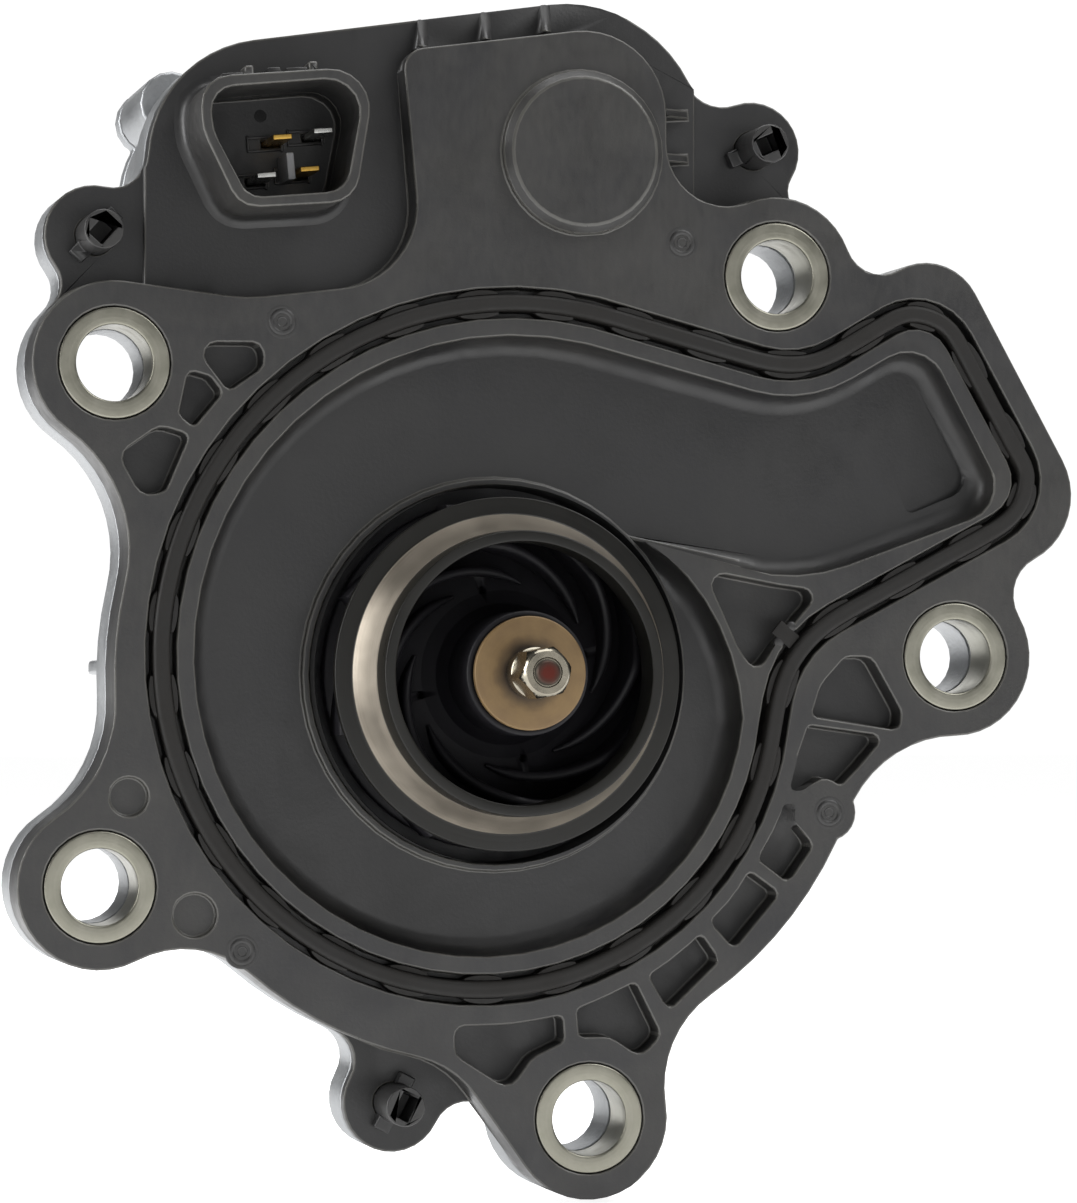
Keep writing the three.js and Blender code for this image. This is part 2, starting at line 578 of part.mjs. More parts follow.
// ---------------------------------------------------------------- motor housing and electronics

const chamberOutline = (inset) => belt([
  roller(17.5, 49.5, 7 - inset), roller(10, 62, 15.2 - inset), roller(-26.6, 59.6, 13.6 - inset),
  roller(-33, 49, 7 - inset),
]);
const COVER_SCREWS = [[-33.5, 46.6], [16.5, 46.6], [19.4, 70.6], [-36.6, 69.5], [-8, 74.6]];
const SCREW_BOSS = 19;           // front end of the bosses that the cover screws bite into
const FINS = { count: 12, thick: 1.8, height: 3.4 };

function coolingFins() {
  return Array.from({ length: FINS.count }, (_, i) => {
    const angle = degrees(158 + (224 * i) / (FINS.count - 1));
    const [x, z] = polar(HOUSING.outer + FINS.height / 2 - 0.6, angle);
    return bar(x, z, FINS.height + 1.2, FINS.thick, angle, FLANGE_BACK - 0.5, MOTOR_BACK - 9);
  });
}

function motorHousing() {
  const { bore, outer } = HOUSING;
  const barrel = turned([
    [0, FLANGE_FRONT + 2], [outer, FLANGE_FRONT + 2],
    [outer, MOTOR_BACK - 5], [outer - 1.5, MOTOR_BACK - 1.5],
    [outer - 5, MOTOR_BACK], [0, MOTOR_BACK],
  ], 40);
  const flange = slab(fullOutline(), FLANGE_FRONT, FLANGE_BACK);
  const chamber = slab(chamberOutline(0), FLANGE_BACK - 1, CHAMBER_BACK);
  const seats = BOLTS.map(([x, z]) => rod(x, z, 8.6, FLANGE_BACK - 1, FLANGE_BACK + 0.8, 28));
  const cavity = turned([
    [0, 0], [bore + 5.6, 0],
    [bore + 5.6, FLANGE_FRONT + 1.4], [bore, FLANGE_FRONT + 1.4], [bore, MOTOR_BACK - 8],
    [bore - 4, MOTOR_BACK - 3.4], [0, MOTOR_BACK - 3.4],
  ], 40);
  const screwBosses = COVER_SCREWS.map(([x, z]) => rod(x, z, 4, SCREW_BOSS, CHAMBER_BACK, 16));
  const room = slab(chamberOutline(3), 0, CHAMBER_BACK + 5)
    .subtract(join(COVER_SCREWS.map(([x, z]) => rod(x, z, 4, SCREW_BOSS, CHAMBER_BACK + 6, 16))));
  const tools = [
    cavity,
    room,
    ...BOLTS.map(([x, z]) => rod(x, z, SLEEVE.bore, 0, 30, 24)),
    ...CLIPS.map(({ x, z }) => rod(x, z, 2.2, 0, 30, 20)),
    ...COVER_SCREWS.map(([x, z]) => rod(x, z, 1.6, CHAMBER_BACK - 10, 60, 10)),
  ];
  return cut(join([flange, barrel, chamber, ...screwBosses, ...seats, ...coolingFins()]), tools);
}

const COVER = { front: CHAMBER_BACK + 1.4, thick: 3, fins: 9, height: 6 };

function electronicsCover() {
  const back = COVER.front + COVER.thick;
  const ears = COVER_SCREWS.map(([x, z]) => rod(x, z, 4, COVER.front, back, 16));
  const plate = join([slab(chamberOutline(0), COVER.front, back), ...ears]);
  const headRoom = COVER_SCREWS.map(([x, z]) => rod(x, z, 4.4, 0, 60, 16));
  const field = cut(slab(chamberOutline(4.5), 0, 60), headRoom);
  const fins = Array.from({ length: COVER.fins }, (_, i) => {
    const x = -32 + (46 * i) / (COVER.fins - 1);
    return box(x - 0.9, x + 0.9, back - 0.5, back + COVER.height, 40, 80).intersect(field);
  });
  const holes = COVER_SCREWS.map(([x, z]) => rod(x, z, 1.8, 0, 60, 10));
  return cut(join([plate, ...fins]), holes);
}

// A flat gasket that follows the chamber wall, with an eyelet round each screw.
function coverSeal() {
  const [front, back] = [CHAMBER_BACK + 0.15, COVER.front - 0.15];
  const eyelets = join(COVER_SCREWS.map(([x, z]) => rod(x, z, 3.8, front, back, 12)));
  const window = slab(chamberOutline(2.6), front - 1, back + 1).subtract(eyelets);
  const screwRoom = COVER_SCREWS.map(([x, z]) => rod(x, z, 2.2, front - 1, back + 1, 12));
  return cut(slab(chamberOutline(0.6), front, back).add(eyelets), [window, ...screwRoom]);
}

function coverScrew([x, z]) {
  const seat = COVER.front + COVER.thick + 0.1;
  const head = turned([
    [0, seat], [3.1, seat], [3.1, seat + 1.8], [2.6, seat + 2.4], [0, seat + 2.4],
  ], 16, x, z);
  const hexagon = Array.from({ length: 6 }, (_, i) => plus([x, z], polar(1.5, degrees(60 * i))));
  const shank = rod(x, z, 1.4, CHAMBER_BACK - 6, seat + 1, 10);
  return cut(join([head, shank]), [slab(hexagon, seat + 1, seat + 5)]);
}

function circuitBoard() {
  const { front, thick } = BOARD;
  const pinHoles = TERMINALS.map(([x, z]) => terminalBar(x, z, 0.3, 0, 60));
  const screwRoom = COVER_SCREWS.map(([x, z]) => rod(x, z, 4.5, 0, 60, 20));
  return cut(slab(chamberOutline(3.6), front, front + thick), [...screwRoom, ...pinHoles]);
}

function capacitor([x, z, radius, front]) {
  const back = BOARD.front - 0.2;
  return turned([
    [0, front], [radius - 0.7, front], [radius, front + 0.6],
    [radius, back - 2.6], [radius - 0.5, back - 2.2], [radius, back - 1.8],
    [radius, back], [0, back],
  ], 20, x, z);
}

// ---------------------------------------------------------------- assembly

add('pump_body', pumpBody(), PLASTIC);
add('connector_shell', connectorShell(), PLASTIC);
add('gasket', gasket(), RUBBER);
BOLTS.forEach(([x, z], i) => {
  add(`bolt_sleeve_${i + 1}`, tube(x, z, SLEEVE.bore, SLEEVE.outer, LAND, BODY_BACK, 32), STEEL);
});
CLIPS.forEach((place, i) => add(`retaining_clip_${i + 1}`, clip(place), PLASTIC));
TERMINALS.forEach(([x, z], i) => {
  add(`terminal_${i + 1}`, terminalBar(x, z, 0, TERMINAL.front, TERMINAL.back), i % 3 === 0 ? GOLD : STEEL);
});
add('connector_key', bar(-25.4, 60.1, 0.9, 3.2, TERMINAL.tilt, 1, SOCKET.floor - FIT), KEY_GREY);

add('impeller', impeller(), PLASTIC);
add('impeller_front_shroud', frontShroud(), PLASTIC);
add('rotor_core', tube(0, 0, SHAFT.radius + 2.6, ROTOR.core, ROTOR.front, ROTOR.back, 28), LAMINATION);
add('rotor_magnet', tube(0, 0, ROTOR.core + 0.1, ROTOR.magnet, ROTOR.front, ROTOR.back, 32), CARBON);
add('rotor_bush', tube(0, 0, SHAFT.radius + 0.15, SHAFT.radius + 2.5, -12.4, ROTOR.back, 36), CARBON);
add('shaft', shaft(), STEEL);
add('front_thrust_washer', tube(0, 0, SHAFT.stud + FIT, WASHER.radius,
  WASHER.front, WASHER.front + WASHER.thick, 40), BRASS_BROWN);
add('rear_thrust_washer', tube(0, 0, SHAFT.radius + FIT, 8,
  ROTOR.back + GAP, ROTOR.back + 2.2, 32), BRASS_BROWN);
add('retaining_nut', retainingNut(), STEEL);

add('separation_can', separationCan(), CARBON);
add('can_seal', turned(circle(32.7, BODY_BACK - 0.62, 0.54, 0.16), 36), RUBBER);
add('stator_core', statorCore(), LAMINATION);
for (let i = 0; i < STATOR.teeth; i += 1) add(`stator_coil_${i + 1}`, coil(i), COPPER);
add('motor_housing', motorHousing(), ALUMINIUM);

add('circuit_board', circuitBoard(), BOARD_GREEN);
add('capacitor_1', capacitor([PUCK.x, PUCK.z, 7.6, 3.6]), CARBON);
add('capacitor_2', capacitor([-1.6, 53.8, 4.6, 4.4]), CARBON);
add('choke', tube(-3.2, 65.8, 2.1, 4.6, 8, BOARD.front - 0.3, 24), COPPER);
add('power_module', box(-24, 6, BOARD.front + BOARD.thick + 0.3, COVER.front - 0.4, 50, 64), CARBON);
add('cover_seal', coverSeal(), RUBBER);
add('electronics_cover', electronicsCover(), ALUMINIUM);
COVER_SCREWS.forEach((place, i) => add(`cover_screw_${i + 1}`, coverScrew(place), STEEL));

export default model;
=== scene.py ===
# Looks of an electric coolant pump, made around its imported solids.
# Metres. +X right and +Z up on the engine-side face, +Y into the pump, origin on the impeller's axis.
import json
import math

import bmesh
import bpy
from mathutils import Matrix, Vector


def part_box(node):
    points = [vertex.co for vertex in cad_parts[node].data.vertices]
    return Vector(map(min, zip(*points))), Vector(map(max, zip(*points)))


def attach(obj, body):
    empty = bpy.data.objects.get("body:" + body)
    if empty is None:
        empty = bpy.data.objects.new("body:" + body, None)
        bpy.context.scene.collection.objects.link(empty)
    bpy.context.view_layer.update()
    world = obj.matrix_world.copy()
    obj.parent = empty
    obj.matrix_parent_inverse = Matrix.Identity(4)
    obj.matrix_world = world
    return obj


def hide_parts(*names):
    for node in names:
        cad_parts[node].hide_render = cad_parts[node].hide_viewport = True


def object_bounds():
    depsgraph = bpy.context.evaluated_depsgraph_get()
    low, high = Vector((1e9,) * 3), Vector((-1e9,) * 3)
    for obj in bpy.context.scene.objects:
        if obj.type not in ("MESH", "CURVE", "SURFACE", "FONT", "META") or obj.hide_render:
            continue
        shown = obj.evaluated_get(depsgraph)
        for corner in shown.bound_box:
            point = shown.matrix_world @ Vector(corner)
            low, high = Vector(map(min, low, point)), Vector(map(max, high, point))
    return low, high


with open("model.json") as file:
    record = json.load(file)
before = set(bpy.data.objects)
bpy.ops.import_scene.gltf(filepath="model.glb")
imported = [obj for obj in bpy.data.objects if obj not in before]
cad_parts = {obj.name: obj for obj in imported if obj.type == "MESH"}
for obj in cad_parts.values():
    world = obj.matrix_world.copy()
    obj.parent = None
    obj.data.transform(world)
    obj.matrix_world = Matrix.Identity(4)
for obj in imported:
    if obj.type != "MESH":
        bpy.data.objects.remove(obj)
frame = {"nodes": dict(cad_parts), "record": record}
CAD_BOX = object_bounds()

MM = 0.001
NODES = frame["nodes"]
ON_ROTOR = set(frame["record"]["behaviour"]["bodies"]["rotor"])
SLOT_OF = {part["node"]: part.get("material_slot") for part in frame["record"].get("subparts", [])}


def body_of(node):
    return "rotor" if node in ON_ROTOR else "housing"


# ---------------------------------------------------------------- camera, light and floor

AIM = Vector((4.53, 0, 8.70)) * MM
YAW, PITCH = math.radians(14.11), math.radians(1.48)
DISTANCE = 0.532
LENS = 133.3


def make_camera():
    ahead = Vector((math.sin(YAW) * math.cos(PITCH), math.cos(YAW) * math.cos(PITCH), math.sin(PITCH)))
    data = bpy.data.cameras.new("camera")
    data.lens = LENS
    data.sensor_width = 36
    data.clip_start, data.clip_end = 0.01, 20
    camera = bpy.data.objects.new("camera", data)
    camera.location = AIM - ahead * DISTANCE
    camera.rotation_mode = "QUATERNION"
    camera.rotation_quaternion = ahead.to_track_quat("-Z", "Y")
    bpy.context.scene.collection.objects.link(camera)
    bpy.context.scene.camera = camera


def softbox(name, place, width, height, power):
    data = bpy.data.lights.new(name, "AREA")
    data.shape = "RECTANGLE"
    data.size, data.size_y = width, height
    data.energy = power
    lamp = bpy.data.objects.new(name, data)
    lamp.location = place
    lamp.rotation_euler = (AIM - Vector(place)).to_track_quat("-Z", "Y").to_euler()
    bpy.context.scene.collection.objects.link(lamp)


def make_lights():
    softbox("key_softbox", (0.45, -0.35, 0.60), 0.45, 0.45, 3.4)
    softbox("left_softbox", (-0.76, -0.02, 0.20), 0.30, 0.55, 4.6)
    softbox("top_softbox", (0.05, 0.10, 0.80), 0.60, 0.60, 4.0)
    softbox("front_fill", (0.02, -1.10, 0.10), 0.80, 0.80, 0.7)
    softbox("back_fill", (0.20, 1.00, 0.45), 0.60, 0.60, 1.8)


def make_world():
    world = bpy.data.worlds.new("white_room")
    bpy.context.scene.world = world
    world.use_nodes = True
    nodes, links = world.node_tree.nodes, world.node_tree.links
    nodes.clear()
    lighting, seen = nodes.new("ShaderNodeBackground"), nodes.new("ShaderNodeBackground")
    lighting.inputs["Color"].default_value = (1, 1, 1, 1)
    lighting.inputs["Strength"].default_value = 0.16
    seen.inputs["Color"].default_value = (1, 1, 1, 1)
    seen.inputs["Strength"].default_value = 1.05
    path, mix = nodes.new("ShaderNodeLightPath"), nodes.new("ShaderNodeMixShader")
    links.new(path.outputs["Is Camera Ray"], mix.inputs["Fac"])
    links.new(lighting.outputs[0], mix.inputs[1])
    links.new(seen.outputs[0], mix.inputs[2])
    links.new(mix.outputs[0], nodes.new("ShaderNodeOutputWorld").inputs["Surface"])


# ---------------------------------------------------------------- finishes


def linear(code):
    channels = [int(code[i : i + 2], 16) / 255 for i in (0, 2, 4)]
    return tuple(((c + 0.055) / 1.055) ** 2.4 if c > 0.04045 else c / 12.92 for c in channels) + (1.0,)


class Finish:
    """A node material in the making. Its patterns lie in the piece's own coordinates, in metres."""

    def __init__(self, name, **sockets):
        self.material = bpy.data.materials.new(name)
        self.material.use_nodes = True
        self.tree = self.material.node_tree
        self.shader = self.tree.nodes["Principled BSDF"]
        for socket, value in sockets.items():
            self.shader.inputs[socket.replace("_", " ")].default_value = value
        self.place = self.tree.nodes.new("ShaderNodeTexCoord").outputs["Object"]
        self.relief = None

    def node(self, kind, links=(), **values):
        made = self.tree.nodes.new(kind)
        for key, value in values.items():
            setattr(made, key, value)
        for socket, source in links:
            if isinstance(source, bpy.types.NodeSocket):
                self.tree.links.new(source, made.inputs[socket])
            else:
                made.inputs[socket].default_value = source
        return made

    def noise(self, scale, detail=3.0, stretch=(1, 1, 1), place=None, distortion=0.0):
        where = self.node("ShaderNodeMapping", [("Vector", place or self.place), ("Scale", stretch)])
        made = self.node("ShaderNodeTexNoise", [("Vector", where.outputs[0]), ("Scale", scale),
                                                ("Detail", detail), ("Distortion", distortion)])
        return made.outputs["Fac"]

    def radius(self):
        """Distance from the piece's own Y axis."""
        split = self.node("ShaderNodeSeparateXYZ", [("Vector", self.place)])
        flat = self.node("ShaderNodeCombineXYZ", [("X", split.outputs["X"]), ("Y", split.outputs["Z"])])
        return self.node("ShaderNodeVectorMath", [(0, flat.outputs[0])], operation="LENGTH").outputs["Value"]

    def depth(self):
        return self.node("ShaderNodeSeparateXYZ", [("Vector", self.place)]).outputs["Y"]

    def rings(self, scale, detail=2.0):
        """Turning marks: a pattern that changes with radius and depth only."""
        turned = self.node("ShaderNodeCombineXYZ", [("X", self.radius()), ("Y", self.depth())])
        return self.noise(scale, detail, place=turned.outputs[0])

    def spread(self, source, low, high, start=0.0, end=1.0):
        made = self.node("ShaderNodeMapRange", [("Value", source), ("From Min", start), ("From Max", end),
                                                ("To Min", low), ("To Max", high)])
        return made.outputs[0]

    def blend(self, factor, first, second):
        made = self.node("ShaderNodeMix", data_type="RGBA")
        for index, value in ((0, factor), (6, first), (7, second)):
            if isinstance(value, bpy.types.NodeSocket):
                self.tree.links.new(value, made.inputs[index])
            else:
                made.inputs[index].default_value = value
        return made.outputs[2]

    def add(self, first, second, weight=1.0):
        made = self.node("ShaderNodeMath", [(0, second), (1, weight), (2, first)], operation="MULTIPLY_ADD")
        return made.outputs[0]

    def times(self, first, second):
        return self.node("ShaderNodeMath", [(0, first), (1, second)], operation="MULTIPLY").outputs[0]

    def colour(self, source):
        self.tree.links.new(source, self.shader.inputs["Base Color"])
        return self

    def rough(self, source, low, high, start=0.3, end=0.7):
        self.tree.links.new(self.spread(source, low, high, start, end), self.shader.inputs["Roughness"])
        return self

    def bump(self, source, height, strength=1.0):
        links = [("Height", source), ("Distance", height), ("Strength", strength)]
        if self.relief is not None:
            links.append(("Normal", self.relief))
        self.relief = self.node("ShaderNodeBump", links).outputs[0]
        self.tree.links.new(self.relief, self.shader.inputs["Normal"])
        return self


PAINTED_SHADE_DEPTHS = (0.0028, 0.0040)  # the depths between which painted shade darkens the plastic of the floors set back behind the face
# The depths and radii in metres between which the polished flare fades in.
FLARE = {"front": (-0.0079, -0.0077), "back": (-0.0040, -0.0038), "inside": (0.0166, 0.0167)}


def plastic(name, dark, light, low, high, ior=1.55, recess_shade=None):
    """Glass-filled moulded plastic: cloudy flow marks, short fibres and a fine grain.

    A recess shade colour is painted shade: the plastic darkens towards it with depth behind the face, on the
    set-back floors.
    """
    made = Finish(name, IOR=ior)
    clouds = made.noise(55, 5, distortion=1.2)
    fibres = made.noise(1500, 2, stretch=(1, 1, 0.35))
    mixed = made.add(clouds, fibres, 0.35)
    skin = made.blend(made.spread(mixed, 0, 1, 0.42, 0.92), linear(dark), linear(light))
    if recess_shade:
        # painted shade: the deeper the surface lies behind the mounting face, the darker
        depth_shade = made.spread(made.depth(), 0, 0.75, *PAINTED_SHADE_DEPTHS)
        skin = made.blend(depth_shade, skin, linear(recess_shade))
    made.colour(skin)
    made.rough(made.add(made.noise(140, 4, distortion=0.8), fibres, 0.25), low, high, 0.42, 0.8)
    made.bump(made.noise(26, 2), 0.00025, 0.25)
    made.bump(made.noise(2600, 2), 0.00003, 0.6)
    return made.material


def turned_plastic(name, dark, light, low, high):
    """Machined plastic of the impeller: fine turning marks, and a flare polished to a metallic gloss."""
    made = Finish(name, IOR=1.55, Specular_IOR_Level=0.25)
    clouds = made.noise(160, 3)
    rings = made.rings(5000)
    behind_throat = made.spread(made.depth(), 0, 1, *FLARE["front"])
    before_face = made.spread(made.depth(), 1, 0, *FLARE["back"])
    outside = made.spread(made.radius(), 0, 1, *FLARE["inside"])
    flare = made.times(made.times(behind_throat, before_face), outside)
    body = made.blend(clouds, linear(dark), linear(light))
    gloss = made.blend(made.add(clouds, rings, 0.4), linear("8f877b"), linear("c4baab"))
    made.colour(made.blend(flare, body, gloss))
    made.tree.links.new(made.spread(flare, 0, 0.9), made.shader.inputs["Metallic"])
    made.rough(made.add(clouds, rings, 0.5), low, high, 0.4, 1.0)
    made.bump(rings, 0.00002, 0.5)
    return made.material


def metal(name, dark, light, low, high, cloud, grain=0.00002):
    """Bright metal with cloudy tarnish and a fine grit."""
    made = Finish(name, Metallic=1.0)
    clouds = made.noise(cloud, 4, distortion=0.4)
    grit = made.noise(1800, 3)
    made.colour(made.blend(made.add(clouds, grit, 0.3), linear(dark), linear(light)))
    made.rough(made.add(clouds, grit, 0.4), low, high, 0.4, 0.95)
    made.bump(grit, grain, 0.7)
    return made.material


def turned_metal(name, dark, light, low, high):
    """Metal with turning marks round the piece's axis."""
    made = Finish(name, Metallic=1.0)
    clouds = made.noise(350, 4)
    rings = made.rings(3500)
    made.colour(made.blend(made.add(clouds, rings, 0.4), linear(dark), linear(light)))
    made.rough(made.add(clouds, rings, 0.5), low, high, 0.4, 1.0)
    made.bump(rings, 0.000015, 0.6)
    made.bump(made.noise(2500, 2), 0.00001, 0.5)
    return made.material


def rubber():
    made = Finish("seal_rubber", IOR=1.45)
    clouds = made.noise(120, 3)
    made.colour(made.blend(clouds, linear("0b0a09"), linear("16130f")))
    made.rough(made.add(clouds, made.noise(900, 2), 0.4), 0.5, 0.72, 0.4, 0.95)
    made.bump(made.noise(1400, 3), 0.00003, 0.5)
    return made.material


def washer_brown():
    """Bearing washer: lapped, with painted shade: a dark ring round the shaft, next to the nut's collar."""
    made = Finish("bearing_brown", Metallic=0.35, IOR=1.6)
    clouds = made.noise(420, 4)
    rings = made.rings(2600)
    # painted shade round the collar, darkest close to the shaft
    collar_shade = made.spread(made.add(made.radius(), clouds, 0.0012), 0, 1, 0.0034, 0.0052)
    face = made.blend(made.add(clouds, rings, 0.35), linear("553f27"), linear("7d6642"))
    made.colour(made.blend(collar_shade, linear("281e16"), face))
    made.rough(made.add(clouds, rings, 0.5), 0.34, 0.55, 0.4, 1.0)
    made.bump(rings, 0.00001, 0.5)
    return made.material


def stud_steel():
    """The threaded stud: steel with a film of red rust on its end."""
    made = Finish("stud_steel", Metallic=0.75)
    clouds = made.noise(900, 4)
    rust = made.spread(made.add(made.radius(), clouds, 0.0006), 1, 0, 0.0009, 0.0018)
    made.colour(made.blend(rust, linear("3a362f"), linear("55231b")))
    made.rough(clouds, 0.35, 0.6)
    made.bump(clouds, 0.00003, 0.5)
    return made.material


def winding_copper():
    """Enamelled wire, seen as close turns."""
    made = Finish("winding_copper", Metallic=1.0, Coat_Weight=0.6)
    turns = made.node("ShaderNodeTexWave", [("Vector", made.place), ("Scale", 620.0), ("Distortion", 1.5)],
                      bands_direction="DIAGONAL")
    made.colour(made.blend(turns.outputs["Fac"], linear("6f3016"), linear("c77a48")))
    made.rough(made.noise(500, 3), 0.25, 0.45)
    made.bump(turns.outputs["Fac"], 0.0003, 0.8)
    return made.material


def lamination_steel():
    """Stacked sheets: thin bands across the axis."""
    made = Finish("lamination_steel", Metallic=1.0)
    sheets = made.node("ShaderNodeTexWave", [("Vector", made.place), ("Scale", 320.0)], bands_direction="Y")
    made.colour(made.blend(sheets.outputs["Fac"], linear("3c3e42"), linear("85888d")))
    made.rough(made.noise(300, 3), 0.35, 0.55)
    made.bump(sheets.outputs["Fac"], 0.0001, 0.6)
    return made.material


def board_green():
    made = Finish("board_green", IOR=1.5, Coat_Weight=0.4)
    tracks = made.node("ShaderNodeTexBrick", [("Vector", made.place), ("Scale", 90.0), ("Mortar Size", 0.03)])
    made.colour(made.blend(tracks.outputs["Fac"], linear("174a2c"), linear("2c7a4a")))
    made.rough(made.noise(300, 3), 0.3, 0.5)
    made.bump(tracks.outputs["Fac"], 0.00004, 0.5)
    return made.material


FINISHES = {
    # pps_plastic's recess shade colour is painted shade on its set-back floors.
    "pps_plastic": plastic("pps_plastic", "1b1b1d", "302f2d", 0.34, 0.54, recess_shade="151516"),
    # A lighter plastic for the rounded edges: painted highlight along them.
    "pps_painted_edge_highlight": plastic("pps_painted_edge_highlight", "3c3b39", "504f4b", 0.26, 0.40),
    "seal_rubber": rubber(),
    "plated_steel": turned_metal("plated_steel", "6e6e61", "97958a", 0.26, 0.46),
    "nut_steel": metal("nut_steel", "67635a", "a29c8d", 0.17, 0.28, cloud=500, grain=0.000004),
    "die_cast_aluminium": metal("die_cast_aluminium", "808284", "b2b4b6", 0.36, 0.60,
                                cloud=90, grain=0.00008),
    "bearing_brown": washer_brown(),
    "carbon_black": plastic("carbon_black", "17171a", "26262a", 0.35, 0.6),
    "copper": winding_copper(),
    "core_steel": lamination_steel(),
    "board_green": board_green(),
    "gold_contact": metal("gold_contact", "a87a2c", "e0b860", 0.22, 0.36, cloud=400),
    "key_grey": plastic("key_grey", "828284", "a0a0a2", 0.4, 0.6),
    "impeller_plastic": turned_plastic("impeller_plastic", "11110f", "1c1b18", 0.24, 0.42),
    "impeller_black": plastic("impeller_black", "100f11", "17161a", 0.42, 0.58, ior=1.32),
    "stud_steel": stud_steel(),
    "blade_steel": metal("blade_steel", "a8a8a6", "d8d8d4", 0.2, 0.35, cloud=400),
    "socket_dark": plastic("socket_dark", "060606", "0c0b0b", 0.6, 0.8),
}

# ---------------------------------------------------------------- mesh tools

WELD = 2e-6
SAME_PLACE = 1e-5
SHARP = math.radians(32)
NEARLY_FLAT = math.radians(0.8)
OUTLINE_EDGE = math.radians(45)
ROUNDED_EDGE = math.radians(34)
NARROW_FORK = math.radians(40)
SHORT_EDGE = 0.12 * MM


def clean_copy(node):
    """The node's mesh with its split vertices welded and its flat triangles merged into faces."""
    work = bmesh.new()
    work.from_mesh(NODES[node].data)
    bmesh.ops.remove_doubles(work, verts=work.verts, dist=WELD)
    bmesh.ops.dissolve_limit(work, angle_limit=NEARLY_FLAT, verts=work.verts, edges=work.edges,
                             use_dissolve_boundaries=False)
    return work


def shade(work, sharp=SHARP):
    for face in work.faces:
        face.smooth = True
    for edge in work.edges:
        edge.smooth = not (len(edge.link_faces) == 2 and edge.calc_face_angle(0) > sharp)


def piece(name, work, finish, body, place=(0, 0, 0), stands_for=(), sharp=SHARP):
    """Makes an object of a bmesh given in millimetres about a place, and ties it to its body and slot."""
    bmesh.ops.scale(work, vec=(MM, MM, MM), verts=work.verts)
    return metre_piece(name, work, finish, body, place, stands_for, sharp)


def metre_piece(name, work, finish, body, place=(0, 0, 0), stands_for=(), sharp=SHARP):
    if sharp is not None:
        shade(work, sharp)
    mesh = bpy.data.meshes.new(name)
    work.to_mesh(mesh)
    work.free()
    mesh.materials.append(FINISHES[finish])
    made = bpy.data.objects.new(name, mesh)
    made.location = place
    bpy.context.scene.collection.objects.link(made)
    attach(made, body)
    if stands_for:
        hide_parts(*stands_for)
    return made


def spare_sharp_forks(work, weight):
    """Leaves edges unrounded where two of them part at a narrow angle: a rounding would spike there."""
    for vert in work.verts:
        rounded = [e for e in vert.link_edges if e[weight] > 0]
        ways = [(e.other_vert(vert).co - vert.co).normalized() for e in rounded]
        for i, way in enumerate(ways):
            if any(way.angle(other, 0) < NARROW_FORK for j, other in enumerate(ways) if j != i):
                rounded[i][weight] = 0
    for edge in work.edges:
        if edge[weight] > 0 and edge.calc_length() < SHORT_EDGE:
            edge[weight] = 0


def soften(node, width, finish=None, segments=2, skip=None, edge_highlight_finish=None, reshape=None):
    """Stands for a CAD node with the same solid, its edges rounded by a width in millimetres.

    Edges for which skip is true stay sharp, and reshape may move the solid's vertices first.
    """
    work = clean_copy(node)
    if reshape:
        reshape(work)
    weight = work.edges.layers.float.new("bevel_weight_edge")
    for face in work.faces:
        face.smooth = True
    for edge in work.edges:
        edge[weight] = float(edge.calc_face_angle(0) > ROUNDED_EDGE and not (skip and skip(edge)))
    spare_sharp_forks(work, weight)
    slot = SLOT_OF[node]
    made = metre_piece(node + "_finished", work, finish or slot, body_of(node),
                       stands_for=[node], sharp=None)
    bevel = made.modifiers.new("round_edges", "BEVEL")
    bevel.width = width * MM
    bevel.segments = segments
    bevel.limit_method = "WEIGHT"
    bevel.use_clamp_overlap = False
    # A lighter finish on the rounded faces is painted highlight along the edges.
    if edge_highlight_finish:
        made.data.materials.append(FINISHES[edge_highlight_finish])
        bevel.material = 1
    even = made.modifiers.new("flat_faces_stay_flat", "WEIGHTED_NORMAL")
    even.mode = "FACE_AREA"
    even.weight = 90
    even.keep_sharp = True
    return made


def turned_profile(node):
    """The closed (radius, depth) profile in millimetres of a node that was turned about a line along Y."""
    low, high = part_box(node)
    middle = (low + high) / 2
    work = bmesh.new()
    work.from_mesh(NODES[node].data)
    bmesh.ops.remove_doubles(work, verts=work.verts, dist=WELD)
    half_plane = [v for v in work.verts
                  if abs(v.co.x - middle.x) < SAME_PLACE and v.co.z > middle.z - SAME_PLACE]
    inside = set(half_plane)
    links = {v: [e.other_vert(v) for e in v.link_edges if e.other_vert(v) in inside] for v in half_plane}
    ends = [v for v in half_plane if len(links[v]) == 1]
    order = [ends[0] if ends else half_plane[0]]
    while True:
        following = [v for v in links[order[-1]] if v not in order]
        if not following:
            break
        order.append(following[0])
    profile = [((v.co.z - middle.z) / MM, v.co.y / MM) for v in order]
    work.free()
    return profile, Vector((middle.x, 0, middle.z))


def filleted(profile, radius, steps=4):
    """The profile with each of its corners replaced by a short arc."""
    points = [Vector(p) for p in profile]
    result = []
    for i, here in enumerate(points):
        before, after = points[i - 1], points[(i + 1) % len(points)]
        to_before, to_after = before - here, after - here
        if to_before.length < 1e-6 or to_after.length < 1e-6 or here.x < 1e-4:
            result.append(here)
            continue
        half = to_before.angle(to_after) / 2
        if half > math.radians(86):
            result.append(here)
            continue
        reach = min(radius / math.tan(half), to_before.length * 0.45, to_after.length * 0.45)
        start, end = here + to_before.normalized() * reach, here + to_after.normalized() * reach
        for k in range(steps + 1):
            t = k / steps
            result.append((1 - t) ** 2 * start + 2 * t * (1 - t) * here + t**2 * end)
    return [(p.x, p.y) for p in result]


